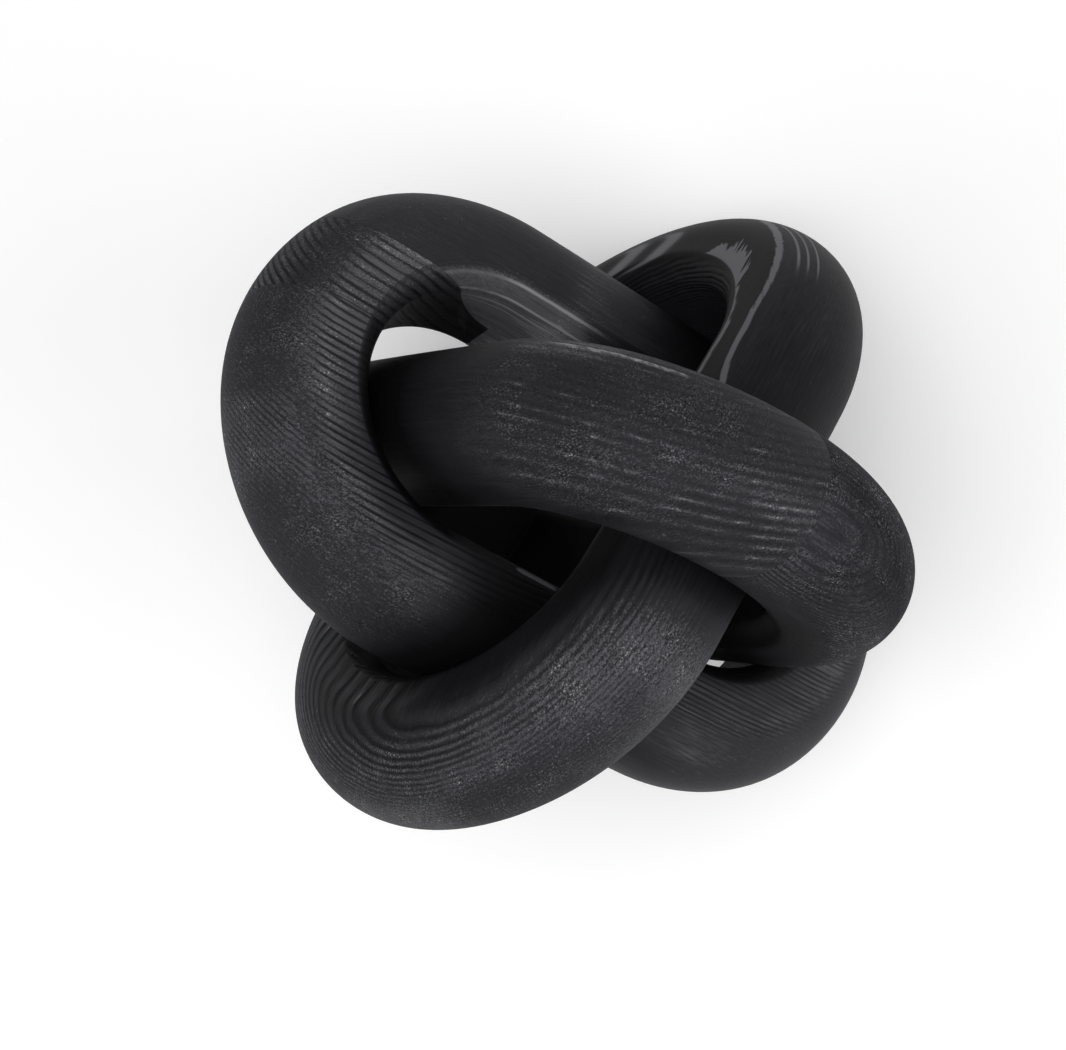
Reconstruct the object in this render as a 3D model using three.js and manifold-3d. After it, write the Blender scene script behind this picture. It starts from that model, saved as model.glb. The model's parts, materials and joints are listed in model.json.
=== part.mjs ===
// Wooden knot sculpture: three long closed links of black stained wood. No two of them are linked, and yet the
// three hold together, because each lies round one neighbour and inside the other.
// Millimetres, +Z up. The origin is on the table, under the middle of the knot.
import * as THREE from 'three';
import Module from 'manifold-3d';

// Sizes of a link
const LINK_WIDTH = 70; // outside width
const RAIL_WIDTH = 16.5; // wood between the hole and the outside
const RAIL_THICKNESS = 20; // thickness of the board, rounded over its whole outside
const HOLE_RIM_ROUND = 3; // rounding of the two rims of the hole
const LINK_PLAY = 7; // how much longer a hole is than the link inside it is wide
const LINK_GAP = 0.35; // least gap between two links where they lean on each other

// Joints inside the links, as distances from the middle of a link across its width
const GLUE_GAP = 0.3; // gap between the faces of a glued joint
const CLOSING_JOINT = 3.2; // first link: where its two halves close round the others
const BLOCK_JOINT = -2.6; // second link: main half to the two end blocks
const BAR_JOINT_INSET = 2.5; // second link: side bar to the end blocks, from the side of the hole
const BAR_JOINT_TILT = 14; // degrees that the side bar's joint leans off square
const DOWEL_DIAMETER = 6;
const DOWEL_LENGTH = 18;
const DOWEL_GAP = 0.3; // gap round a dowel and at its ends

// How each link leans off the square knot: turn in degrees about X, Y and Z as one turn vector, and shift
const LEANS = {
  first: { turn: [5.1, -6.2, 0.7], shift: [0.4, 1.1, 2.6] },
  second: { turn: [4.6, 8.3, 8.5], shift: [-0.6, -0.4, -1.4] },
  third: { turn: [-9.6, 0.4, -6.1], shift: [0.2, -0.7, -1.2] },
};

// Facets
const OUTSIDE_STEPS = 12;
const RIM_STEPS = 3;
const BEND_STEPS = 20;
const DOWEL_SIDES = 20;
const CUTTER_SIZE = 400; // larger than any link

// Colours
const BLACK_WOOD = { color: 0x2b2b2b, roughness: 0.75, metalness: 0 };
const DOWEL_WOOD = { color: 0xc9a877, roughness: 0.8, metalness: 0 };

const LINK_LENGTH = LINK_WIDTH + 2 * RAIL_WIDTH + LINK_PLAY;
const HALF_STRAIGHT = (LINK_LENGTH - LINK_WIDTH) / 2;
const HALF_THICKNESS = RAIL_THICKNESS / 2;
const HOLE_RADIUS = LINK_WIDTH / 2 - RAIL_WIDTH;
const ROUND_RADIUS = LINK_WIDTH / 2 - HALF_THICKNESS; // bend radius at the middle of the outside round
const WALL = HALF_THICKNESS - RAIL_WIDTH; // inner wall, from the middle of the outside round

const wasm = await Module();
wasm.setup();

// Section of the wood: x away from the link's middle, y along its normal.
function railSection() {
  const rimX = WALL + HOLE_RIM_ROUND;
  const rimY = HALF_THICKNESS - HOLE_RIM_ROUND;
  const quarter = Math.PI / 2;
  const arc = (x, y, radius, from, to, steps) =>
    new THREE.EllipseCurve(x, y, radius, radius, from, to).getPoints(steps);
  return [
    ...arc(0, 0, HALF_THICKNESS, -quarter, quarter, OUTSIDE_STEPS),
    ...arc(rimX, rimY, HOLE_RIM_ROUND, quarter, 2 * quarter, RIM_STEPS),
    ...arc(rimX, -rimY, HOLE_RIM_ROUND, 2 * quarter, 3 * quarter, RIM_STEPS),
  ];
}

// Stations round a link: two half turns, with the straight bars between them.
function linkStations() {
  const stations = [];
  for (const side of [1, -1]) {
    for (let i = 0; i <= BEND_STEPS; i += 1) {
      const angle = (-0.5 + i / BEND_STEPS) * Math.PI;
      stations.push({
        middle: side * HALF_STRAIGHT,
        outward: new THREE.Vector2(side * Math.cos(angle), side * Math.sin(angle)),
      });
    }
  }
  return stations;
}

// A whole link: length along X, width along Y, normal along Z.
function linkGeometry() {
  const section = railSection();
  const stations = linkStations();
  const positions = [];
  const triangles = [];
  stations.forEach((station, i) => {
    const next = (i + 1) % stations.length;
    section.forEach((point, j) => {
      const reach = ROUND_RADIUS + point.x;
      positions.push(station.middle + reach * station.outward.x, reach * station.outward.y, point.y);
      const across = (j + 1) % section.length;
      const [a, b] = [i * section.length + j, next * section.length + j];
      const [c, d] = [next * section.length + across, i * section.length + across];
      triangles.push(a, b, c, a, c, d);
    });
  });
  const geometry = new THREE.BufferGeometry();
  geometry.setAttribute('position', new THREE.Float32BufferAttribute(positions, 3));
  geometry.setIndex(triangles);
  return geometry;
}

// Solids for cutting and joining
function solidOf(geometry) {
  const corners = new Map();
  const vertices = [];
  const position = geometry.getAttribute('position');
  const merged = Array.from({ length: position.count }, (_, i) => {
    const point = [position.getX(i), position.getY(i), position.getZ(i)];
    const key = point.map((value) => Math.round(value * 1e4)).join(' ');
    if (!corners.has(key)) {
      corners.set(key, vertices.length / 3);
      vertices.push(...point);
    }
    return corners.get(key);
  });
  const index = geometry.getIndex();
  const triangles = [];
  for (let i = 0; i < index.count; i += 3) {
    const [a, b, c] = [0, 1, 2].map((corner) => merged[index.getX(i + corner)]);
    if (a !== b && b !== c && c !== a) triangles.push(a, b, c);
  }
  return new wasm.Manifold(new wasm.Mesh({
    numProp: 3,
    vertProperties: new Float32Array(vertices),
    triVerts: new Uint32Array(triangles),
  }));
}

function geometryOf(solid) {
  const mesh = solid.getMesh();
  const geometry = new THREE.BufferGeometry();
  geometry.setAttribute('position', new THREE.BufferAttribute(mesh.vertProperties, 3));
  geometry.setIndex(new THREE.BufferAttribute(mesh.triVerts, 1));
  geometry.computeVertexNormals();
  return geometry;
}

// Everything on one side of a joint: `side` is 1 or -1 across the width, and the joint turns about the length.
function sideOf(joint, side, tilt = 0) {
  const box = new THREE.BoxGeometry(CUTTER_SIZE, CUTTER_SIZE, CUTTER_SIZE);
  box.translate(0, side * (CUTTER_SIZE + GLUE_GAP) / 2, 0);
  box.rotateX(THREE.MathUtils.degToRad(-tilt));
  box.translate(0, joint, 0);
  return solidOf(box);
}

// Everything beyond the middle of a link, towards one end.
function endOf(end) {
  const box = new THREE.BoxGeometry(CUTTER_SIZE, CUTTER_SIZE, CUTTER_SIZE);
  box.translate(end * CUTTER_SIZE / 2, 0, 0);
  return solidOf(box);
}

// A peg across the closing joint, in the middle of the wood at one end of the link.
function pegGeometry(end, gap) {
  const radius = DOWEL_DIAMETER / 2 + gap;
  const peg = new THREE.CylinderGeometry(radius, radius, DOWEL_LENGTH + 2 * gap, DOWEL_SIDES);
  const middle = (LINK_LENGTH - RAIL_WIDTH) / 2;
  peg.translate(end * middle, CLOSING_JOINT, 0);
  return peg;
}

function pieceMesh(name, geometry, look) {
  const mesh = new THREE.Mesh(geometry, new THREE.MeshStandardMaterial(look));
  mesh.name = name;
  return mesh;
}

const wholeLink = solidOf(linkGeometry());

function firstLink() {
  const group = new THREE.Group();
  const holes = solidOf(pegGeometry(1, DOWEL_GAP)).add(solidOf(pegGeometry(-1, DOWEL_GAP)));
  const front = wholeLink.intersect(sideOf(CLOSING_JOINT, 1)).subtract(holes);
  const back = wholeLink.intersect(sideOf(CLOSING_JOINT, -1)).subtract(holes);
  group.add(pieceMesh('first_link_front_half', geometryOf(front), BLACK_WOOD));
  group.add(pieceMesh('first_link_back_half', geometryOf(back), BLACK_WOOD));
  group.add(pieceMesh('first_link_near_dowel', pegGeometry(1, 0), DOWEL_WOOD));
  group.add(pieceMesh('first_link_far_dowel', pegGeometry(-1, 0), DOWEL_WOOD));
  return group;
}

function secondLink() {
  const group = new THREE.Group();
  const barJoint = -HOLE_RADIUS + BAR_JOINT_INSET;
  const mainHalf = wholeLink.intersect(sideOf(BLOCK_JOINT, 1));
  const sideBar = wholeLink.intersect(sideOf(barJoint, -1, BAR_JOINT_TILT));
  const blocks = wholeLink.intersect(sideOf(BLOCK_JOINT, -1)).intersect(sideOf(barJoint, 1, BAR_JOINT_TILT));
  group.add(pieceMesh('second_link_main_half', geometryOf(mainHalf), BLACK_WOOD));
  group.add(pieceMesh('second_link_side_bar', geometryOf(sideBar), BLACK_WOOD));
  group.add(pieceMesh('second_link_near_block', geometryOf(blocks.intersect(endOf(1))), BLACK_WOOD));
  group.add(pieceMesh('second_link_far_block', geometryOf(blocks.intersect(endOf(-1))), BLACK_WOOD));
  return group;
}

function thirdLink() {
  const group = new THREE.Group();
  group.add(pieceMesh('third_link_ring', geometryOf(wholeLink), BLACK_WOOD));
  return group;
}

// The square knot: length, width and normal of each link along X, Y and Z in turn.
const AXES = [new THREE.Vector3(1, 0, 0), new THREE.Vector3(0, 1, 0), new THREE.Vector3(0, 0, 1)];

// Places of the three links, leaning by a share of their full lean.
function placesAt(share) {
  return Object.values(LEANS).map((lean, i) => {
    const turn = new THREE.Vector3(...lean.turn).multiplyScalar(THREE.MathUtils.degToRad(share));
    const place = new THREE.Matrix4().makeRotationAxis(turn.clone().normalize(), turn.length());
    place.setPosition(new THREE.Vector3(...lean.shift).multiplyScalar(share));
    return place.multiply(new THREE.Matrix4().makeBasis(AXES[i], AXES[(i + 1) % 3], AXES[(i + 2) % 3]));
  });
}

// Distance from a point to the surface of a link in that link's own axes, negative inside the wood.
function distanceToLink(point) {
  const along = Math.max(Math.abs(point.x) - HALF_STRAIGHT, 0);
  const out = Math.hypot(along, point.y) - ROUND_RADIUS;
  const height = Math.abs(point.z);
  if (out >= 0) return Math.hypot(out, height) - HALF_THICKNESS;
  const past = WALL + HOLE_RIM_ROUND - out;
  const over = height - (HALF_THICKNESS - HOLE_RIM_ROUND);
  const corner = Math.hypot(Math.max(past, 0), Math.max(over, 0));
  return corner + Math.min(Math.max(past, over), 0) - HOLE_RIM_ROUND;
}

const surface = linkGeometry().getAttribute('position');
const surfacePoints = Array.from({ length: surface.count }, (_, i) =>
  new THREE.Vector3().fromBufferAttribute(surface, i));

function leastGap(places) {
  let least = Infinity;
  for (const from of places) {
    for (const to of places) {
      if (from === to) continue;
      const across = to.clone().invert().multiply(from);
      for (const point of surfacePoints) {
        least = Math.min(least, distanceToLink(point.clone().applyMatrix4(across)));
      }
    }
  }
  return least;
}

// The links lean as far as their leans say, or until they touch.
function settledPlaces() {
  let [low, high] = [0, 1];
  if (leastGap(placesAt(high)) >= LINK_GAP) return placesAt(high);
  for (let i = 0; i < 24; i += 1) {
    const middle = (low + high) / 2;
    if (leastGap(placesAt(middle)) >= LINK_GAP) low = middle;
    else high = middle;
  }
  return placesAt(low);
}

// The table touches the lowest point of each link. Returns its upward normal.
function tableNormal(places) {
  const clouds = places.map((place) => surfacePoints.map((point) => point.clone().applyMatrix4(place)));
  const up = new THREE.Vector3(1, 1, 1).normalize();
  for (let i = 0; i < 40; i += 1) {
    const [a, b, c] = clouds.map((cloud) =>
      cloud.reduce((lowest, point) => (point.dot(up) < lowest.dot(up) ? point : lowest)));
    const normal = b.clone().sub(a).cross(c.clone().sub(a)).normalize();
    if (normal.dot(up) < 0) normal.negate();
    up.copy(normal);
  }
  return up;
}

// The knot stands on the table with the first link's length along +X in plan.
function standingTurn(places) {
  const up = tableNormal(places);
  const length = new THREE.Vector3().setFromMatrixColumn(places[0], 0);
  const right = length.addScaledVector(up, -length.dot(up)).normalize();
  const ahead = up.clone().cross(right);
  return new THREE.Quaternion().setFromRotationMatrix(new THREE.Matrix4().makeBasis(right, ahead, up)).invert();
}

const places = settledPlaces();
const knot = new THREE.Group();
knot.quaternion.copy(standingTurn(places));
[firstLink(), secondLink(), thirdLink()].forEach((link, i) => {
  link.applyMatrix4(places[i]);
  knot.add(link);
});

const sculpture = new THREE.Group();
sculpture.add(knot);
sculpture.updateMatrixWorld(true);
const box = new THREE.Box3().setFromObject(sculpture, true);
const middle = box.getCenter(new THREE.Vector3());
knot.position.set(-middle.x, -middle.y, -box.min.z);

export default sculpture;
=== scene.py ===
"""Looks of a wooden knot sculpture: three closed links of fir, brushed and stained black.

Millimetres are used for every size, and metres only where a mesh, lamp or camera is made.
Each link has axes of its own: x along its length, y across its width, z along its normal.
"""
import json
import math

import bpy
import numpy as np
from mathutils import Euler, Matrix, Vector


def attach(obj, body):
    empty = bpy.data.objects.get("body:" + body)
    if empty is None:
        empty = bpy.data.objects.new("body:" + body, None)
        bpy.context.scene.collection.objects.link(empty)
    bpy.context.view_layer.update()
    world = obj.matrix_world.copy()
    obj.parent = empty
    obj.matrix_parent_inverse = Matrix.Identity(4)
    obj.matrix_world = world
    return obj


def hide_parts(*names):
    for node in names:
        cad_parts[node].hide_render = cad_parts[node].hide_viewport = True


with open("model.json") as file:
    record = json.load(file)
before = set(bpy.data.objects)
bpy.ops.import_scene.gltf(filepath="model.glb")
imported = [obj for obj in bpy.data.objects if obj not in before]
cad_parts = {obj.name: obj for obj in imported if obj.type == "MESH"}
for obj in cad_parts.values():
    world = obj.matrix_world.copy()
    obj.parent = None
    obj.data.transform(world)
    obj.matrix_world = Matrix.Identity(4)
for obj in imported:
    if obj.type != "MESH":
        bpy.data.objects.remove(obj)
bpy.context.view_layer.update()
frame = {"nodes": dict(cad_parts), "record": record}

MM = 0.001

# Sizes of a link, as in the CAD model
LINK_LENGTH = 110.0
LINK_WIDTH = 70.0
RAIL_WIDTH = 16.5
RAIL_THICKNESS = 20.0
HOLE_RIM_ROUND = 3.0

HALF_THICKNESS = RAIL_THICKNESS / 2
HALF_STRAIGHT = (LINK_LENGTH - LINK_WIDTH) / 2
BEND_RADIUS = LINK_WIDTH / 2 - HALF_THICKNESS  # at the middle of the outside round
WALL = HALF_THICKNESS - RAIL_WIDTH  # inner wall, from the middle of the outside round
BEND = math.pi * BEND_RADIUS
STRAIGHT = 2 * HALF_STRAIGHT
LOOP = 2 * (BEND + STRAIGHT)
RIM_EDGE = WALL + HOLE_RIM_ROUND  # where the flat face ends at the hole

# Fineness of the meshes and of the joints between pieces
MESH_STEP = 0.7
ARC_POINTS = 200  # on each round of the section, before its points are spread evenly
RIM_EASING = 5.0  # radius to which a rim of the hole is eased
RIM_CRISP = 0.12  # from a rim's line to the first points beside it
SEAM_GAP = 0.02  # between two glued pieces
SEAM_EDGE = 0.03  # how far a piece's edge is worn down at a joint
SEAM_WEAR = 0.3  # how far from a joint that wear reaches
SEAM_ROWS = (0, 0.25, 0.6, 1)  # rows of points across that wear, as shares of it
SHELTER_REACHES = (3.0, 6.0, 10.0, 16.0, 24.0)  # how far from the surface other wood is felt
SANDING_WAVE = 0.09  # how far hand sanding leaves the surface off its true shape

# Camera, measured from the middle of the table under the knot
CAMERA_PLACE = (59.56, 4.51, 271.54)
CAMERA_TURN = (-2.76, 15.71, -2.68)  # degrees about X, Y and Z
CAMERA_LENS = 55.6
CAMERA_SENSOR = 36.0  # its width
CAMERA_NEAR = 10.0  # nothing nearer is drawn


def linear(hex_colour):
    """Linear colour from sRGB hex, with full alpha."""
    shares = [int(hex_colour[i:i + 2], 16) / 255 for i in (1, 3, 5)]
    return [s / 12.92 if s <= 0.04045 else ((s + 0.055) / 1.055) ** 2.4 for s in shares] + [1.0]


# Places of the links

def link_place(nodes):
    """Place of a link, from the volume of its solids: its length and width both point upwards.

    Each triangle makes a tetrahedron with the origin, and their moments add up to the link's.
    """
    volume, first, second = 0.0, np.zeros(3), np.zeros((3, 3))
    for node in nodes:
        mesh = frame["nodes"][node].data
        mesh.calc_loop_triangles()
        points = np.array([vertex.co for vertex in mesh.vertices])
        corners = points[[list(triangle.vertices) for triangle in mesh.loop_triangles]]
        a, b, c = corners.transpose(1, 0, 2)
        parts = np.einsum("ij,ij->i", a, np.cross(b, c)) / 6
        total = a + b + c
        volume += parts.sum()
        first += parts @ total / 4
        for p in (a, b, c, total):
            second += np.einsum("i,ij,ik->jk", parts / 20, p, p)
    middle = first / volume
    axes = np.linalg.eigh(second / volume - np.outer(middle, middle))[1]
    length, width = (axes[:, k] * np.sign(axes[2, k]) for k in (2, 1))
    place = np.eye(4)
    place[:3, :3] = np.column_stack([length, width, np.cross(length, width)])
    place[:3, 3] = middle
    return place


# Shape of the wood

def rail_section():
    """Points round the section and their outward normals.

    A point is how far it lies out from the middle of the outside round, and how far along the normal.
    The rims of the hole are eased by hand, flatter than a true round, with a crisp line left on each side.
    """
    half_chord = HOLE_RIM_ROUND / math.sqrt(2)
    half_turn = math.asin(half_chord / RIM_EASING)
    middle = RIM_EASING * math.cos(half_turn) / math.sqrt(2) - HOLE_RIM_ROUND / 2
    rim_out, rim_up = RIM_EDGE + middle, HALF_THICKNESS - HOLE_RIM_ROUND - middle
    quarter = math.pi / 2
    arcs = [
        (0, 0, HALF_THICKNESS, -quarter, quarter),
        (rim_out, rim_up, RIM_EASING, 1.5 * quarter - half_turn, 1.5 * quarter + half_turn),
        (rim_out, -rim_up, RIM_EASING, 2.5 * quarter - half_turn, 2.5 * quarter + half_turn),
    ]
    fine = []
    for out, up, radius, start, stop in arcs:
        angles = np.linspace(start, stop, ARC_POINTS)
        fine.append(np.stack([out + radius * np.cos(angles), up + radius * np.sin(angles)], 1))
    outline = np.concatenate(fine + [fine[0][:1]])
    reach = np.concatenate([[0], np.cumsum(np.linalg.norm(np.diff(outline, axis=0), axis=1))])
    rim_ends = [ARC_POINTS, 2 * ARC_POINTS - 1, 2 * ARC_POINTS, 3 * ARC_POINTS - 1]
    edges = [0, *reach[rim_ends], reach[-1]]
    places = []
    for low, high in zip(edges, edges[1:]):
        count = round((high - low) / MESH_STEP) + 1
        places.append(np.linspace(low + RIM_CRISP, high - RIM_CRISP, count))
    even = np.concatenate(places)
    points = np.stack([np.interp(even, reach, outline[:, k]) for k in (0, 1)], 1)
    along = np.roll(points, -1, axis=0) - np.roll(points, 1, axis=0)
    normals = np.stack([along[:, 1], -along[:, 0]], 1)
    return points, normals / np.linalg.norm(normals, axis=1, keepdims=True)


SECTION, SECTION_NORMALS = rail_section()


def link_points(path, section):
    """Points in a link's axes, from the way round the link and the place in its section.

    The way starts where the near bend leaves the bar at negative width.
    """
    way = path % LOOP
    angle = np.full(way.shape, math.pi / 2)
    middle = HALF_STRAIGHT - (way - BEND)
    near, far = way < BEND, (way >= BEND + STRAIGHT) & (way < 2 * BEND + STRAIGHT)
    low = way >= 2 * BEND + STRAIGHT
    angle[near] = -math.pi / 2 + way[near] / BEND_RADIUS
    angle[far] = math.pi / 2 + (way[far] - BEND - STRAIGHT) / BEND_RADIUS
    angle[low] = -math.pi / 2
    middle[near] = HALF_STRAIGHT
    middle[far] = -HALF_STRAIGHT
    middle[low] = way[low] - 2 * BEND - STRAIGHT - HALF_STRAIGHT
    reach = BEND_RADIUS + section[..., 0]
    return np.stack([middle + reach * np.cos(angle), reach * np.sin(angle), section[..., 1]], -1)


def sanding(points):
    """Slow uneven waves that hand sanding leaves, between -1 and 1."""
    x, y, z = np.moveaxis(points, -1, 0)
    waves = np.sin(x / 9.1 + y / 23 + 0.7) * np.sin(y / 7.3 - z / 11 + 1.9)
    return 0.5 * (waves + np.sin(z / 4.7 + x / 13 + 0.4) * np.sin(y / 5.9 + x / 17))


def joint_way(joint, end):
    """Way round the link to a joint in one bend, for each point of the section.

    A joint is a plane across the width: how far out it is and how much that grows along the normal.
    """
    across, slope = joint
    sine = np.clip((across + slope * SECTION[:, 1]) / (BEND_RADIUS + SECTION[:, 0]), -1, 1)
    turn = np.arcsin(sine) * BEND_RADIUS
    return BEND / 2 + turn if end == "near" else 1.5 * BEND + STRAIGHT - turn


def piece_grid(start, stop):
    """Rows of points along a piece, from one joint to the next, or all round when it has none."""
    if start is None:
        rows = round(LOOP / MESH_STEP)
        path = np.repeat(np.arange(rows)[:, None] * LOOP / rows, len(SECTION), 1)
        worn = np.zeros(rows)
    else:
        length = (stop - start).mean()
        edge = np.array(SEAM_ROWS) * SEAM_WEAR
        inner = np.linspace(SEAM_WEAR, length - SEAM_WEAR, round(length / MESH_STEP))
        along = np.concatenate([edge, inner[1:-1], length - edge[::-1]])
        path = start + along[:, None] / length * (stop - start)
        near_joint = np.clip(1 - np.minimum(along, length - along) / SEAM_WEAR, 0, 1)
        worn = SEAM_EDGE * near_joint ** 2
    section = np.broadcast_to(SECTION, (*path.shape, 2))
    true_shape = link_points(path, section)
    offset = SANDING_WAVE * sanding(true_shape) - worn[:, None]
    section = section + offset[..., None] * SECTION_NORMALS
    points = link_points(path, section)
    normals = link_points(path, section + SECTION_NORMALS) - points
    return points, normals, section[..., 0]


def off_wood(points):
    """How far points in a link's axes lie outside its wood, below zero inside it."""
    x, y, z = np.moveaxis(np.abs(points), -1, 0)
    out = np.hypot(np.maximum(x - HALF_STRAIGHT, 0), y) - BEND_RADIUS
    past, over = RIM_EDGE - out, z - (HALF_THICKNESS - HOLE_RIM_ROUND)
    hole_side = np.hypot(np.maximum(past, 0), np.maximum(over, 0)) + np.minimum(np.maximum(past, over), 0)
    return np.where(out > 0, np.hypot(out, z) - HALF_THICKNESS, hole_side - HOLE_RIM_ROUND)


def shelter(points, normals, place, all_places):
    """How closely the links lie round each spot, from 0 in the open to 1 in a narrow gap."""
    closeness = np.zeros(points.shape[:-1])
    for reach in SHELTER_REACHES:
        spots = (points + reach * normals) * MM @ place[:3, :3].T + place[:3, 3]
        free = np.full(closeness.shape, reach)
        for other in all_places:
            free = np.minimum(free, off_wood((spots - other[:3, 3]) / MM @ other[:3, :3]))
        closeness += np.clip(1 - free / reach, 0, 1) / len(SHELTER_REACHES)
    return closeness


def piece_mesh(name, place, points, closed, readings):
    """A closed mesh over the rows of points, with flat ends where the piece has joints.

    Each point keeps its spot in the link, in millimetres, and the wood's readings there.
    """
    rows, columns = points.shape[:2]
    spots = points.reshape(-1, 3)
    row_steps = np.arange(rows if closed else rows - 1)
    i, j = (grid.ravel() for grid in np.meshgrid(row_steps, np.arange(columns), indexing="ij"))
    this_row, next_row = i * columns, (i + 1) % rows * columns
    next_j = (j + 1) % columns
    faces = np.stack([this_row + j, next_row + j, next_row + next_j, this_row + next_j], 1).tolist()
    if not closed:
        first = np.arange(columns)
        last = (rows - 1) * columns + first
        faces += [first.tolist(), last[::-1].tolist()]
    mesh = bpy.data.meshes.new(name)
    vertices = spots * MM @ place[:3, :3].T + place[:3, 3]
    mesh.from_pydata(vertices.tolist(), [], faces)
    mesh.polygons.foreach_set("use_smooth", [len(face) == 4 for face in faces])
    mesh.attributes.new("spot", "FLOAT_VECTOR", "POINT").data.foreach_set("vector", spots.ravel())
    for reading, values in readings.items():
        mesh.attributes.new(reading, "FLOAT", "POINT").data.foreach_set("value", values.ravel())
    mesh.update()
    return mesh


# Materials

def add(tree, kind, inputs=(), output=0, **settings):
    """Adds a node with its settings, fills or links its inputs, and gives back one of its outputs."""
    node = tree.nodes.new(kind)
    for setting, value in settings.items():
        setattr(node, setting, value)
    for socket, value in inputs.items() if isinstance(inputs, dict) else enumerate(inputs):
        if isinstance(value, bpy.types.NodeSocket):
            tree.links.new(value, node.inputs[socket])
        else:
            node.inputs[socket].default_value = value
    return node.outputs[output] if node.outputs else None


def empty_material(name):
    """A material with no nodes yet."""
    material = bpy.data.materials.new(name)
    material.use_nodes = True
    material.node_tree.nodes.clear()
    return material


# Black stain, from where it lies thick in a groove to where it is rubbed off the fibre tips
STAIN_COLOURS = {
    0.0: "#08080a",
    0.25: "#17171a",
    0.5: "#2d2d31",
    0.75: "#5e5e62",
    1.0: "#b4b4b4",
}

# Patches in the wood: their size along the fibres and across them, in mm, and their fineness
PATCHES = {
    "drift": (30, 6, 1),
    "ripple": (7, 1.2, 1),
    "breaks": (14, 2.5, 2),
    "ragged": (8, 0.7, 2),
    "fibre": (5, 0.3, 3),
    "grit": (0.3, 0.2, 1),
    "tips": (0.4, 0.28, 0),
    "clusters": (6, 2.2, 2),
    "cloud": (16, 9, 2),
}
FINER_SHARE = 0.65  # how strong each finer step of a patch is, against the one before

# Ranges over which a mark comes in, and what it then goes from and to where that is not 0 and 1
GROOVE_DEPTHS = (0, 0.7, 0.55, 1)  # by a layer's chance number
GROOVE_BREAKS = (-0.15, 0.05, 0.35, 1)
CLUSTERS = (-0.15, 0.15, 0.35, 1.3)
STREAK_WIDTH = (0.17, 0.03)  # off the middle of a layer, as a share of it
STREAK_RUNS = (-0.04, 0.12)
RUBBED_START = (-0.25, 0.1)  # mm past the line where rubbing starts
RUBBED_EDGE = (-0.05, 0.3)  # mm
LINE_EDGE = (-0.1, 0.2)  # mm
LONGER_BRUSHED = (-0.12, 0.12, 0.6, 1.25)
TIPS = (0.17, 0.27)
SPECKS = (0.28, 0.34)

GROOVE_BOTTOM = 0.48  # off the middle of a layer, as a share of it
CHOSEN_STEP = 0.1  # from no streak to a full one, in a layer's chance number
PALE_CORE = 0.2  # of a pale layer's width, where it is palest
RUBBED_LAP = 0.1  # how far rubbing reaches over the hole's rim
RUBBED_RAGGED = 3.0  # how unevenly the stain is rubbed off
LINE_RAGGED = 0.5  # mm by which a line's edge wavers

# Weight of each mark in the wood's tone, from 0 for thick stain to 1 for bare fibre
CLOUD_TONE = 0.16
GROOVE_TONE = -0.4
FIBRE_TONE = 0.32
GRIT_TONE = 0.85
STREAK_TONE = 0.28
TIP_TONE = 0.06
SPECK_TONE = 0.15  # of single fibre tips that stand out even where the brush did little
PAINTED_GAP_SHADE = 0.5  # painted shade, added where other links lie close round a spot
UNBRUSHED = (0.1, 0.6)  # shelter from which the brush's grit fades, and at which it is gone

# Brushed surface: its relief in mm and as shares of a groove's depth, and how it shines
GROOVE_DEPTH = 0.12
FIBRE_HEIGHT = 0.6
GRIT_HEIGHT = 1.2
RELIEF_STRENGTH = 0.7
RIPPLE_SHARE = 0.13  # how far a groove wanders, as a share of the layers' spacing
SMOOTH_ROUGHNESS = 0.55
GRITTY_ROUGHNESS = 0.75
STAIN_IOR = 1.45


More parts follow.
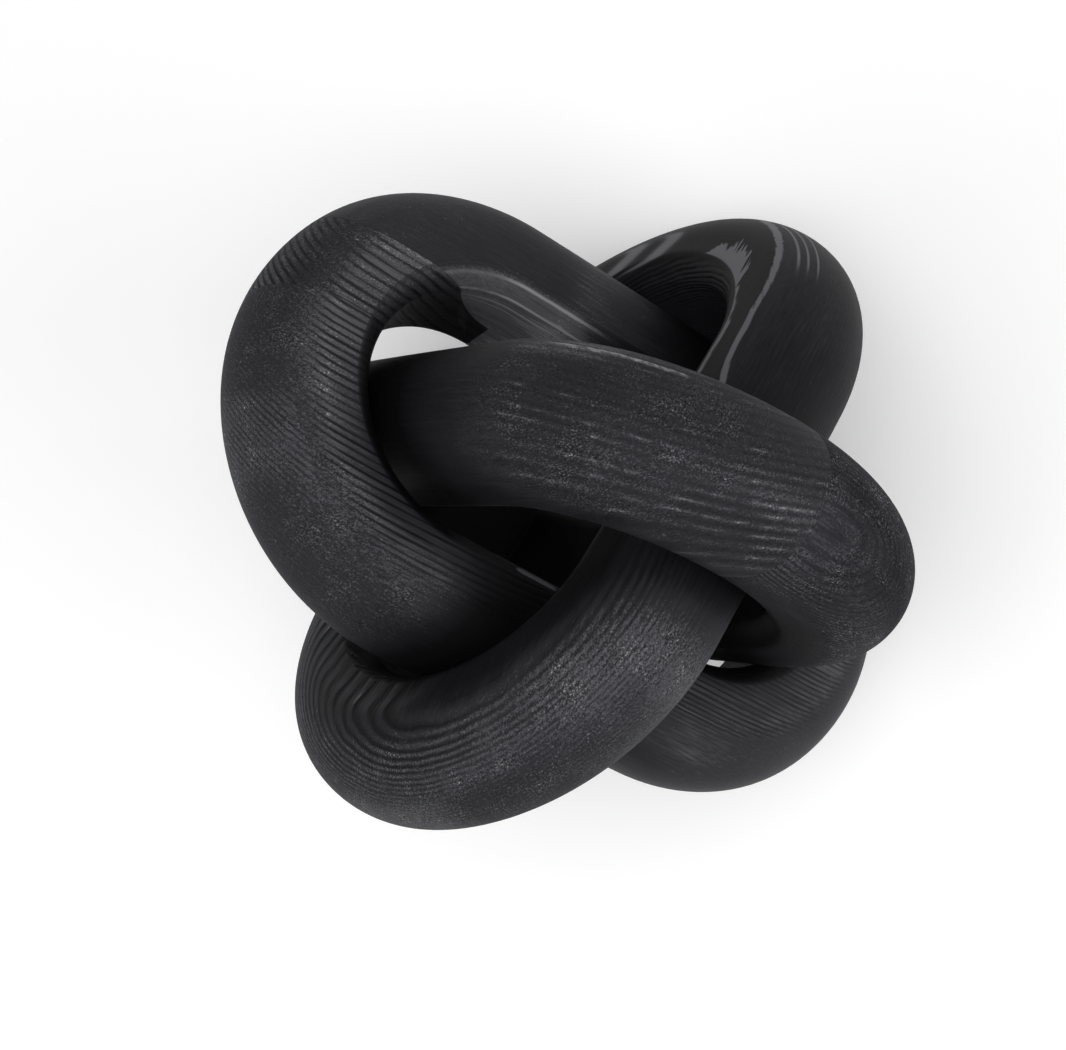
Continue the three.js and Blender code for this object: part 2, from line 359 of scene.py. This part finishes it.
def brushed_fir(name, grain):
    """Fir, wire brushed and stained black.

    The brush hollows the soft part of each growth layer into a dark groove, and the stain
    is rubbed off the hard ridges and fibre tips, so the black looks striped and gritty.
    """
    material = empty_material(name)
    tree = material.node_tree
    spot = add(tree, "ShaderNodeAttribute", output="Vector", attribute_name="spot")
    readings = ("layer", "out", "brushing", "grit", "streaks", "pale_grain", "rubbed", "shade", "pale_line_and_highlight")
    layer, out, brushing, grittiness, streaking, paleness, rubbing, shade, pale_line_and_highlight = (
        add(tree, "ShaderNodeAttribute", output="Fac", attribute_name=reading) for reading in readings
    )
    patches = {}
    for patch, (along, across, detail) in PATCHES.items():
        scale = [1 / across] * 3
        scale[grain["fibre_axis"]] = 1 / along
        patch_spot = add(tree, "ShaderNodeMapping", {"Vector": spot, "Scale": scale})
        inputs = {"Vector": patch_spot, "Scale": 1.0, "Detail": detail, "Roughness": FINER_SHARE}
        noise = add(tree, "ShaderNodeTexNoise", inputs, output="Fac")
        patches[patch] = add(tree, "ShaderNodeMath", [noise, 0.5], operation="SUBTRACT")

    # Growth layers: a share from 0 to 1 through each one, and a chance number of its own
    drifted = add(tree, "ShaderNodeMath", [patches["drift"], grain["drift"], layer],
                  operation="MULTIPLY_ADD")
    ripple_size = RIPPLE_SHARE * grain["spacing"]
    rippled = add(tree, "ShaderNodeMath", [patches["ripple"], ripple_size, drifted],
                  operation="MULTIPLY_ADD")
    ring = add(tree, "ShaderNodeMath", [rippled, grain["spacing"]], operation="DIVIDE")
    share = add(tree, "ShaderNodeMath", [ring], operation="FRACT")
    ring_number = add(tree, "ShaderNodeMath", [ring], operation="FLOOR")
    chance = add(tree, "ShaderNodeTexWhiteNoise", {"W": ring_number}, noise_dimensions="1D")
    off_middle = add(tree, "ShaderNodeMath", [share, 0.5], operation="SUBTRACT")
    off_middle = add(tree, "ShaderNodeMath", [off_middle], operation="ABSOLUTE")

    # Grooves, broken here and there, and shallower where the brush did less
    groove = add(tree, "ShaderNodeMapRange", [off_middle, 0.5 - grain["groove_share"], GROOVE_BOTTOM],
                 interpolation_type="SMOOTHSTEP")
    depth = add(tree, "ShaderNodeMapRange", [chance, *GROOVE_DEPTHS])
    broken = add(tree, "ShaderNodeMapRange", [patches["breaks"], *GROOVE_BREAKS])
    for factor in (depth, broken, brushing):
        groove = add(tree, "ShaderNodeMath", [groove, factor], operation="MULTIPLY")

    # Pale streaks along hard layers, broken into short runs, and along a few layers that stay pale
    clusters = add(tree, "ShaderNodeMapRange", [patches["clusters"], *CLUSTERS])
    streak = add(tree, "ShaderNodeMapRange", [off_middle, *STREAK_WIDTH], interpolation_type="SMOOTHSTEP")
    streak_from = grain["streak_from"]
    chosen = add(tree, "ShaderNodeMapRange", [chance, streak_from, streak_from + CHOSEN_STEP])
    runs = add(tree, "ShaderNodeMapRange", [patches["breaks"], *STREAK_RUNS])
    for factor in (chosen, runs, clusters):
        streak = add(tree, "ShaderNodeMath", [streak, factor], operation="MULTIPLY")
    streak = add(tree, "ShaderNodeMath", [streak, streaking], operation="MULTIPLY")
    pale = 0.0
    for pale_depth, half_width in grain["pale_layers"]:
        off_pale = add(tree, "ShaderNodeMath", [layer, pale_depth], operation="SUBTRACT")
        off_pale = add(tree, "ShaderNodeMath", [off_pale], operation="ABSOLUTE")
        off_pale = add(tree, "ShaderNodeMapRange", [off_pale, half_width, PALE_CORE * half_width],
                       interpolation_type="SMOOTHSTEP")
        pale = add(tree, "ShaderNodeMath", [off_pale, pale], operation="MAXIMUM")
    pale = add(tree, "ShaderNodeMath", [paleness, pale], operation="MULTIPLY")

    # Stain rubbed off from the hole's rim outwards, with a ragged edge along the fibres
    off_rim = add(tree, "ShaderNodeMath", [out, RIM_EDGE - RUBBED_LAP], operation="SUBTRACT")
    from_rim = add(tree, "ShaderNodeMapRange", [off_rim, *RUBBED_START])
    ragged_width = add(tree, "ShaderNodeMath", [patches["ragged"], RUBBED_RAGGED, 1.0],
                       operation="MULTIPLY_ADD")
    ragged_width = add(tree, "ShaderNodeMath", [ragged_width, rubbing], operation="MULTIPLY")
    to_edge = add(tree, "ShaderNodeMath", [ragged_width, off_rim], operation="SUBTRACT")
    rubbed = add(tree, "ShaderNodeMapRange", [to_edge, *RUBBED_EDGE])
    rubbed = add(tree, "ShaderNodeMath", [rubbed, from_rim], operation="MULTIPLY")

    # One long pale line with an uneven edge: where the stain did not take on the third link, a painted
    # highlight along the second link's rim, and on the first link's top edge partly wear and partly a
    # painted highlight
    ragged_line = add(tree, "ShaderNodeMath", [patches["ragged"], LINE_RAGGED, pale_line_and_highlight],
                      operation="MULTIPLY_ADD")
    line = add(tree, "ShaderNodeMapRange", [ragged_line, *LINE_EDGE], interpolation_type="SMOOTHSTEP")
    for other in (rubbed, pale):
        line = add(tree, "ShaderNodeMath", [line, other], operation="MAXIMUM")

    # Grit and pale fibre tips, in clusters, and more where the brush worked longer
    worked = add(tree, "ShaderNodeMapRange", [patches["cloud"], *LONGER_BRUSHED])
    gritty = add(tree, "ShaderNodeMath", [grittiness, clusters], operation="MULTIPLY")
    gritty = add(tree, "ShaderNodeMath", [gritty, worked], operation="MULTIPLY")
    tips = add(tree, "ShaderNodeMapRange", [patches["tips"], *TIPS])
    tips = add(tree, "ShaderNodeMath", [tips, gritty], operation="MULTIPLY")
    grit = add(tree, "ShaderNodeMath", [patches["grit"], gritty], operation="MULTIPLY")
    specks = add(tree, "ShaderNodeMapRange", [patches["tips"], *SPECKS])
    specks = add(tree, "ShaderNodeMath", [specks, clusters], operation="MULTIPLY")

    # Tone of the stain, darker in grooves and paler at each mark, with the shade reading's painted shade and
    # painted light, and the relief under it
    tone = add(tree, "ShaderNodeMath", [patches["cloud"], CLOUD_TONE, grain["tone"]],
               operation="MULTIPLY_ADD")
    marks = [(shade, -1.0), (groove, GROOVE_TONE), (patches["fibre"], FIBRE_TONE), (grit, GRIT_TONE),
             (streak, STREAK_TONE), (tips, TIP_TONE), (specks, SPECK_TONE)]
    for mark, weight in marks:
        tone = add(tree, "ShaderNodeMath", [mark, weight, tone], operation="MULTIPLY_ADD")
    tone = add(tree, "ShaderNodeMapRange", [line, 0, 1, tone, grain["pale_tone"]])
    colour = add(tree, "ShaderNodeValToRGB", {"Fac": tone})
    stops = colour.node.color_ramp.elements
    while len(stops) < len(STAIN_COLOURS):
        stops.new(0.5)
    for stop, (position, stain) in zip(stops, STAIN_COLOURS.items()):
        stop.position = position
        stop.color = linear(stain)
    height = add(tree, "ShaderNodeMath", [groove, -1.0, 0.0], operation="MULTIPLY_ADD")
    for mark, weight in ((patches["fibre"], FIBRE_HEIGHT), (grit, GRIT_HEIGHT)):
        height = add(tree, "ShaderNodeMath", [mark, weight, height], operation="MULTIPLY_ADD")
    relief = {"Strength": RELIEF_STRENGTH, "Distance": GROOVE_DEPTH * MM, "Height": height}
    normal = add(tree, "ShaderNodeBump", relief)
    rough = add(tree, "ShaderNodeMapRange", [grittiness, 0, 1, SMOOTH_ROUGHNESS, GRITTY_ROUGHNESS])
    shader = add(tree, "ShaderNodeBsdfPrincipled", {
        "Base Color": colour,
        "Roughness": rough,
        "IOR": STAIN_IOR,
        "Specular IOR Level": grain["shine"],
        "Normal": normal,
    })
    add(tree, "ShaderNodeOutputMaterial", {"Surface": shader})
    return material


# Bare beech, from its flecks to the wood between them
BEECH_COLOURS = ("#a9804f", "#d8b98a")
FLECK_SIZE = 0.5


def turned_beech(name):
    """Beech turned to a dowel and left bare: pale brown, with short darker flecks."""
    material = empty_material(name)
    tree = material.node_tree
    place = add(tree, "ShaderNodeTexCoord", output="Object")
    fleck_place = add(tree, "ShaderNodeMapping", {"Vector": place, "Scale": [1 / (FLECK_SIZE * MM)] * 3})
    fleck_noise = {"Vector": fleck_place, "Scale": 1.0, "Detail": 3.0}
    fleck = add(tree, "ShaderNodeTexNoise", fleck_noise, output="Fac")
    colour = add(tree, "ShaderNodeValToRGB", {"Fac": fleck})
    for stop, shade in zip(colour.node.color_ramp.elements, BEECH_COLOURS):
        stop.color = linear(shade)
    shader = add(tree, "ShaderNodeBsdfPrincipled", {"Base Color": colour, "Roughness": 0.7})
    add(tree, "ShaderNodeOutputMaterial", {"Surface": shader})
    return material


# Boards: how deep each spot lies in the growth layers, in mm, and how brush and stain left it there.
# The shade reading also holds painted shade and painted light, region by region.
# Zones of a board go from 0 to 1. A shade above zero is darker, and a pale line, which is a painted
# highlight on some pieces, shows above zero.

def ease(value, low, high):
    """Rises smoothly from 0 at low to 1 at high."""
    share = np.clip((value - low) / (high - low), 0, 1)
    return share * share * (3 - 2 * share)


def first_front_board(x, y, z, out):
    """Front half of the first link: fine lines along the bar, which end at the closing joint."""
    # The end of the bar away from the second link: brushed more, and clear of the painted shadow that the
    # second link casts on the other end
    unshadowed_brushed_end = ease(x, 21, 31)
    by_joint = 1 - ease(y, 7, 19)
    # A pale line along the top edge, partly worn and partly a painted highlight where light grazes the edge
    edge_highlight_runs = ease(y, 17, 21) * (1 - ease(y, 30, 33)) * (x > 0)
    # Painted highlight: a lighter band along the top edge round that line
    top_edge_highlight = (1 - ease(z, -5.5, -4)) * ease(x, 24, 28) * (1 - ease(x, 36, 41))
    hole_side = 1 - ease(out, 2, 5)
    low_side = 0.06 * ease(x, 36, 44) * ease(z, 0, 3)
    line_ends = by_joint * (0.03 * ease(z, -2, 2) - 0.08 * ease(z, 3, 7))
    return {
        "layer": z + 0.0085 * (y - 27) ** 2,
        "brushing": 0.05 + 0.15 * unshadowed_brushed_end + 0.15 * by_joint,
        "grit": 0.1 + 0.9 * unshadowed_brushed_end - 0.45 * by_joint * unshadowed_brushed_end,
        "streaks": unshadowed_brushed_end * (0.5 + by_joint * (0.35 * ease(z, 0, 3) - 0.45 * ease(z, 6, 9))),
        # Painted shadow of the second link on the end of the bar by it, painted highlight along the top
        # edge, and painted light on the lower side and on the face by the hole; near the joint the tone also
        # changes with height
        "shade": (1 - unshadowed_brushed_end) * (0.2 - 0.06 * hole_side) + unshadowed_brushed_end * (0.01 - low_side - line_ends)
        - 0.14 * top_edge_highlight - 0.15 * unshadowed_brushed_end * (1 - ease(out, -1, 2.5)) * (1 - ease(y, 14, 19)),
        "pale_line_and_highlight": edge_highlight_runs * (1.36 - np.abs(z + 6.95)) - 1,
    }


def first_back_board(x, y, z, out):
    """Back half of the first link: stippled end grain, with fine slanted lines beside the hole."""
    by_joint = ease(y, -6, 3)
    rim_strip = (1 - ease(out, 0, 4)) * (1 - by_joint)
    under = ease(-y, 5, 13) * (1 - ease(out, -1, 5)) * (x > 0) * (z > 0)
    low_edge = ease(-y, 8, 13) * ease(out, 8, 9.6)
    top_side = ease(y, -14, -8) * (1 - ease(z, -3, 1))
    end_face = (x > 0) * ease(y, -14, -7) * (1 - ease(np.abs(z - 2.5), 2, 4.5))
    dark_band = (x > 0) * (1 - ease(np.abs(z + 4.2 + 0.36 * y), 0.5, 2.2))
    return {
        "layer": x + 0.3 * z,
        "brushing": 0.3 * (1 - rim_strip) + 0.2 * ease(z, 8, 9.8),
        "grit": 1.5 - 1.2 * rim_strip - 0.5 * by_joint - 0.55 * end_face,
        # Painted shade under the bend, where the other links shade it, and along its lower outer edge, its
        # upper side and by the hole's rim; a band across the bend and the end face are a little darker, and
        # the joint is lighter
        "shade": 0.06 * rim_strip + 0.22 * under + 0.12 * low_edge + 0.1 * top_side - 0.06 * by_joint
        + 0.03 * end_face + 0.06 * dark_band - 0.04,
    }


def second_main_board(x, y, z, out):
    """Main half of the second link: stripes along its length, which both bends cut across."""
    flat_face = (1 - ease(out, 0.5, 4.5)) * ease(out, RIM_EDGE - 0.3, RIM_EDGE + 0.1)
    hole_wall = 1 - ease(out, RIM_EDGE - 0.5, RIM_EDGE)
    near = ease(x, -10, 10)
    far = 1 - near
    # Painted shade in the crease where the near bend meets the third link
    by_crease = near * (1 - ease(x, 22, 34)) * (ease(out, 6, 9) - 0.4 * ease(out, 2, 5))
    # Beside the third link: painted light against the painted gap shade there
    by_ring = far * ease(x, -36, -16) * ease(out, 2, 5) * (1 - ease(out, 7.5, 9.5))
    by_block = near * (1 - ease(y, 4, 14)) * ease(out, 4, 7)
    # Painted shade where the face runs in under the third link
    knot_shade = near * (1 - ease(x, 13, 22)) * ease(z, 5, 9)
    side_stripes = near * (1 - ease(np.abs(y - 18), 3, 7)) * ease(out, 4, 6)
    round_side = near * ease(out, 3.5, 7.5)
    far_round = far * np.maximum(ease(out, 7, 9.5), ease(-x, 40, 46) * ease(out, 1, 4))
    under = far * ease(-z, 0, 6)
    far_stripes = far * ease(out, 0.5, 3) * (1 - ease(out, 3.6, 5.4))
    # Stripes lie wider apart on the hole's wall
    wide_wall = HALF_THICKNESS - (HALF_THICKNESS - z) * (1 - 0.5 * hole_wall)
    # Painted highlight along the far edge of the hole's rim, where light comes through the gap
    rim_highlight_run = ease(x, 3, 5) * (1 - ease(x, 10, 13.5)) * (z > 0)
    return {
        "layer": (1.35 - 0.35 * near) * (0.64 * y - 0.77 * wide_wall),
        "brushing": 0.1 * near + flat_face * (0.7 + 0.2 * near) + 0.5 * far_stripes
        + 0.3 * (hole_wall + under + side_stripes),
        "grit": (0.05 + 0.75 * near + 0.5 * under) * (1 - 0.8 * hole_wall),
        "streaks": 0.4 * flat_face,
        # Painted shade in the crease, under the third link and on the outer rounds, where it is partly the
        # wood's own tone; painted light beside the third link; the flat face and its stripes, and the
        # underside, are paler
        "shade": 0.06 * hole_wall - 0.08 * near
        - flat_face * (0.2 + far * (0.13 - 0.1 * ease(out, -1.5, 1.5)))
        + 0.12 * by_crease - 0.12 * by_ring + 0.03 * by_block + 0.36 * knot_shade - 0.1 * side_stripes
        + 0.07 * round_side + 0.06 * far_round - 0.05 * under - 0.05 * far_stripes,
        "pale_line_and_highlight": rim_highlight_run * (1.6 - np.abs(out - RIM_EDGE + 1.4)) - 1,
    }


def second_block(x, y, z, out):
    """Near block of the second link: the same stripes, brushed deeper on its outside and the hole's wall."""
    board = second_main_board(x, y, z, out)
    hole_wall = 1 - ease(out, RIM_EDGE - 0.5, RIM_EDGE)
    rim = ease(out, 5.5, 9)
    # Painted light on the hole's wall, stronger towards its top
    wall_painted_light = hole_wall * (0.08 + 0.22 * ease(z, 0, 6))
    return board | {
        "brushing": board["brushing"] + 1.2 * rim + 0.9 * hole_wall,
        "shade": board["shade"] + 0.05 - 0.15 * rim - wall_painted_light,
    }


def second_bar(x, y, z, out):
    """Side bar of the second link: plain wood, with broad pale streaks on the hole's wall."""
    wall = 1 - ease(out, RIM_EDGE - 0.6, RIM_EDGE - 0.1)
    hole_wall = wall * ease(x, 2, 14)
    under = ease(-z, -1, 5)
    middle = (1 - ease(np.abs(x - 4), 6, 14)) * (1 - wall) * (1 - under)
    return {
        "layer": z,
        "brushing": 0.12 + 0.4 * under,
        "grit": 0.25 + 0.1 * hole_wall + 0.4 * under,
        "pale_grain": hole_wall * (0.85 - 0.45 * ease(x, 21, 27)),
        # Painted light on the hole's wall, which lies in shade, less of it up at the rim; the middle of the
        # bar and its underside are paler too
        "shade": hole_wall * (0.14 * ease(z, 6, 9) + 0.22 * ease(z, 9, 9.8) - 0.05 * ease(z, 1, 4) - 0.52)
        - 0.08 * under - 0.14 * middle - 0.04 * ease(x, 30, 40),
    }


def third_board(x, y, z, out):
    """Third link: stripes round the near bend, and pale lines and a rubbed rim round the far one."""
    near = ease(x, -8, 14)
    near_layer = 0.055 * x + 0.12 * ((y - 6) - np.hypot(y - 6, 7))
    far_layer = 0.059 * np.hypot(x + 23, 8) - 0.101 * y + 0.027 * np.hypot(y - 8, 8)
    flat_face = 1 - ease(out, 0, 2.5)
    hole_side = flat_face * ease(y, 3, 12)
    hole_wall = 1 - ease(out, RIM_EDGE - 1.5, RIM_EDGE - 0.5)
    gritty = near * ease(out, 2.5, 6)
    # Degrees round the far bend: 90 where it leaves the bar, and 180 at its tip
    round_way = np.degrees(np.arctan2(y, np.minimum(x + HALF_STRAIGHT, -0.01)))
    flame = ease(round_way, 118, 132) * (1 - ease(round_way, 150, 158))
    upper_leg = ease(y, 2, 8) * (1 - ease(x, -12, -6)) * (1 - ease(round_way, 154, 160))
    # Where the long pale line runs
    line_out = 0.35 + 0.112 * np.maximum(round_way - 100, 0) + 0.017 * np.maximum(x + HALF_STRAIGHT, 0) ** 2
    line_runs = (z > 0) * (y > 0) * (1 - ease(x, -10, -6)) * (1 - ease(round_way, 156, 164))
    inside_line = line_runs * (1 - ease(out, line_out - 0.8, line_out + 0.4))
    end_face = ease(round_way, 144, 156) * (1 - ease(out, 4, 8)) * (z > 0)
    dark_face = np.maximum(np.maximum(flat_face, inside_line), end_face)
    # The far bore is brushed, and given painted light, as it lies in deep shade
    far_wall = (1 - near) * hole_wall * (1 - ease(x, -34, -28))
    far_round = (1 - near) * ease(out, 8.5, 9.8)
    # Painted shade on the low wall of the hole, in the hollow under the other links
    low_wall = hole_wall * (y < 0) * (x > -25)
    # Painted shadow of the second link across the near bend's rim
    low_rim_shadow = near * (y < 6) * (1 - ease(out, RIM_EDGE - 0.5, RIM_EDGE + 3))
    low_turn = near * ease(y, -20, -12) * (1 - ease(y, 7, 15)) * ease(out, -0.5, 1.5)
    low_turn_shade = low_turn * (0.2 * ease(z, 0, 4) - 0.1 - 0.04 * ease(out, 4, 7))
    leg = ease(y, 20, 29)
    leg_tone = near * leg * (0.16 - 0.06 * ease(x, 29, 34) - 0.04 * ease(x, 37, 42)) * ease(out, -1, 2)
    # Painted light on the near bend's gritty upper side and its leg
    paler = 0.12 * gritty * ease(z, 0, 5) * (1 - 0.4 * leg) + leg_tone
    straight_end = 1 - ease(out, 1.5, 3) * (1 - ease(y, 12, 18))
    brushed_side = ease(z, 2, 7) * (0.75 - 0.5 * ease(y, 8, 22))
    low_face = near * flat_face * (1 - ease(y, 0, 8))
    under = (1 - near) * ease(-z, 0, 6)
    return {
        "layer": z + near * near_layer + (1 - near) * far_layer,
        "brushing": 0.1 + 0.9 * far_wall * ease(z, 1, 6) + 0.5 * under
        + near * (1 - hole_wall) * (0.05 + brushed_side + 0.5 * flat_face - hole_side + 0.7 * low_face),
        "grit": 0.08 + near * 0.1 + 0.75 * gritty + 0.6 * under,
        "streaks": low_face * (1 - low_rim_shadow),
        "pale_grain": (1 - near) * (1 - ease(x, -37, -31)) * (1 - 0.8 * hole_wall) * straight_end,
        "rubbed": upper_leg * (0.85 + 2.6 * flame),
        # Painted shade on the far bend, which faces away from the light, most on its flat face and outer
        # round; painted shadow across the near rim and painted shade on its low wall; painted light on the
        # near bend's side and in the far bore
        "shade": (1 - near) * (0.16 + 0.3 * dark_face) + 0.06 * far_round
        + near * flat_face * (0.24 * ease(y, 3, 12) - 0.04) - 0.14 * low_face + 0.34 * low_rim_shadow
        + low_turn_shade - paler + 0.15 * low_wall - far_wall * (0.85 - 0.3 * ease(z, 7, 9)) - 0.14 * under,
        "pale_line_and_highlight": line_runs * (1.6 - np.minimum(np.abs(out - line_out), 1)) - 1,
    }


# Readings that are zero where a board does not give them
NO_READING = ("brushing", "grit", "streaks", "pale_grain", "rubbed", "shade")

PLAIN_GRAIN = {
    "fibre_axis": 0,  # of the link, along which the fibres run
    "spacing": 1.2,  # of the growth layers
    "drift": 0.6,  # how far the layers wander
    "groove_share": 0.34,  # of a layer, on each side, that the brush hollows
    "streak_from": 0.75,  # a layer whose chance number is higher has pale streaks
    "pale_layers": [],
    "tone": 0.47,
    "pale_tone": 0.75,  # of pale lines where the stain did not take, and of painted highlight lines
    "shine": 0.14,
}

# Joints of the pieces: how far across the width they lie, and how much that grows along the normal
CLOSING_JOINT = (3.2, -0.06)
BLOCK_JOINT = (-2.6, 0.0)
BAR_JOINT = (-18.1, 0.31)


def between(start_joint, start_end, stop_joint, stop_end, side):
    """Ways round the link at both ends of a piece, half a gap clear of the joints.

    The side is 1 at an end where the piece lies further across the width than the joint, and otherwise -1.
    """
    ways = []
    ends = ((start_joint, start_end, side[0]), (stop_joint, stop_end, side[1]))
    for (across, slope), end, to_side in ends:
        ways.append(joint_way((across + to_side * SEAM_GAP / 2, slope), end))
    start, stop = ways
    return (start, stop) if stop.mean() > start.mean() else (start, stop + LOOP)


STRIPES = PLAIN_GRAIN | {"spacing": 0.7, "groove_share": 0.3}

# Layers that stay pale: how deep they lie, and half their width
BAR_STREAKS = [(9.3, 0.25), (7.3, 0.28), (5.4, 0.22), (4.3, 0.12)]
RING_STREAKS = [(7.1, 0.24), (6.2, 0.22), (5.1, 0.22), (11.9, 0.4), (12.62, 0.4)]

# Pieces: the CAD node, the body, the ways at both ends, the board and its grain
PIECES = [
    # Its pale line along the top edge is partly a painted highlight, so it is paler
    ("first_link_front_half", "first_link", between(CLOSING_JOINT, "near", CLOSING_JOINT, "far", (1, 1)),
     first_front_board, PLAIN_GRAIN | {"streak_from": 0.3, "pale_tone": 0.88}),
    ("first_link_back_half", "first_link", between(CLOSING_JOINT, "far", CLOSING_JOINT, "near", (-1, -1)),
     first_back_board, PLAIN_GRAIN | {"fibre_axis": 1, "spacing": 0.55, "shine": 0.06}),
    ("second_link_main_half", "second_link", between(BLOCK_JOINT, "near", BLOCK_JOINT, "far", (1, 1)),
     second_main_board, STRIPES),
    ("second_link_near_block", "second_link", between(BAR_JOINT, "near", BLOCK_JOINT, "near", (1, -1)),
     second_block, STRIPES | {"spacing": 0.92}),
    ("second_link_far_block", "second_link", between(BLOCK_JOINT, "far", BAR_JOINT, "far", (-1, 1)),
     second_main_board, STRIPES),
    ("second_link_side_bar", "second_link", between(BAR_JOINT, "far", BAR_JOINT, "near", (-1, -1)),
     second_bar, PLAIN_GRAIN | {"spacing": 2.2, "streak_from": 2.0, "pale_layers": BAR_STREAKS,
                                "tone": 0.42, "pale_tone": 0.9}),
    ("third_link_ring", "third_link", (None, None), third_board,
     PLAIN_GRAIN | {"spacing": 0.62, "groove_share": 0.42, "streak_from": 0.0, "pale_layers": RING_STREAKS,
                    "pale_tone": 0.76}),
]

LINK_PLACES = {body: link_place(nodes) for body, nodes in frame["record"]["behaviour"]["bodies"].items()}

for node, body, (start, stop), board, grain in PIECES:
    name = node + "_wood"
    points, normals, out = piece_grid(start, stop)
    readings = dict.fromkeys(NO_READING, np.zeros_like(out)) | {"pale_line_and_highlight": np.full_like(out, -1.0)}
    readings |= board(*np.moveaxis(points, -1, 0), out)
    link_closeness = shelter(points, normals, LINK_PLACES[body], LINK_PLACES.values())
    readings["grit"] = readings["grit"] * (1 - ease(link_closeness, *UNBRUSHED))
    # Painted shade in the gaps, darker where other links lie close; the grit fades there too
    readings["shade"] = readings["shade"] + PAINTED_GAP_SHADE * link_closeness
    readings["out"] = out
    wood = bpy.data.objects.new(name, piece_mesh(name, LINK_PLACES[body], points, start is None, readings))
    bpy.context.collection.objects.link(wood)
    wood.data.materials.append(brushed_fir("brushed_black_fir_" + node, grain))
    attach(wood, body)
    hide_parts(node)

dowel_beech = turned_beech("turned_beech")
for node in ("first_link_near_dowel", "first_link_far_dowel"):
    dowel = frame["nodes"][node]
    dowel.data.materials.clear()
    dowel.data.materials.append(dowel_beech)


# Floor, light and camera

FLOOR_COLOUR = "#fdfdfd"
FLOOR_GLOW = 0.12  # added only where the card is seen or mirrored, so that it is as white as paper
FLOOR_HALF = 2000.0
FLOOR_DROP = 0.1  # keeps the card clear of the lowest points of the links
ROOM_COLOUR = "#ffffff"
ROOM_LIGHT = 0.3
KNOT_MIDDLE = 45.0  # above the table

# Soft boxes: place, width, and power in watts
SOFT_BOXES = {
    "top_box": ((80, 0, 900), 800, 4.3),
    "right_box": ((720, -200, 420), 600, 2.6),
    "left_box": ((-720, -300, 420), 600, 2.0),
}


def pale_floor():
    """A sheet of white card, which keeps the knot's shadow."""
    half = FLOOR_HALF * MM
    corners = [(-half, -half), (half, -half), (half, half), (-half, half)]
    mesh = bpy.data.meshes.new("floor")
    mesh.from_pydata([(x, y, -FLOOR_DROP * MM) for x, y in corners], [], [(0, 1, 2, 3)])
    floor = bpy.data.objects.new("floor", mesh)
    bpy.context.collection.objects.link(floor)
    card = empty_material("white_card")
    tree = card.node_tree
    shader = add(tree, "ShaderNodeBsdfPrincipled", {"Base Color": linear(FLOOR_COLOUR), "Roughness": 0.9})
    seen = 0.0
    for ray in ("Is Camera Ray", "Is Glossy Ray", "Is Transmission Ray"):
        this_ray = add(tree, "ShaderNodeLightPath", output=ray)
        seen = add(tree, "ShaderNodeMath", [this_ray, seen], operation="MAXIMUM")
    glow = add(tree, "ShaderNodeMath", [seen, FLOOR_GLOW], operation="MULTIPLY")
    glow = add(tree, "ShaderNodeEmission", {"Strength": glow})
    shader = add(tree, "ShaderNodeAddShader", [shader, glow])
    add(tree, "ShaderNodeOutputMaterial", {"Surface": shader})
    mesh.materials.append(card)


def soft_box(name, place, width, power):
    """A square lamp that looks at the middle of the knot."""
    lamp = bpy.data.lights.new(name, "AREA")
    lamp.size = width * MM
    lamp.energy = power
    box = bpy.data.objects.new(name, lamp)
    bpy.context.collection.objects.link(box)
    box.location = Vector(place) * MM
    to_knot = Vector((0, 0, KNOT_MIDDLE * MM)) - box.location
    box.rotation_euler = to_knot.to_track_quat("-Z", "Y").to_euler()


pale_floor()
for box_name, (place, width, power) in SOFT_BOXES.items():
    soft_box(box_name, place, width, power)

world = bpy.data.worlds.new("white_room")
bpy.context.scene.world = world
world.use_nodes = True
room = world.node_tree.nodes["Background"]
room.inputs["Color"].default_value = linear(ROOM_COLOUR)
room.inputs["Strength"].default_value = ROOM_LIGHT

camera_data = bpy.data.cameras.new("camera")
camera_data.lens = CAMERA_LENS
camera_data.sensor_width = CAMERA_SENSOR
camera_data.sensor_fit = "HORIZONTAL"
camera_data.clip_start = CAMERA_NEAR * MM
camera = bpy.data.objects.new("camera", camera_data)
bpy.context.collection.objects.link(camera)
camera.location = Vector(CAMERA_PLACE) * MM
camera.rotation_euler = Euler([math.radians(value) for value in CAMERA_TURN])
bpy.context.scene.camera = camera
bpy.context.scene.view_settings.view_transform = "Standard"
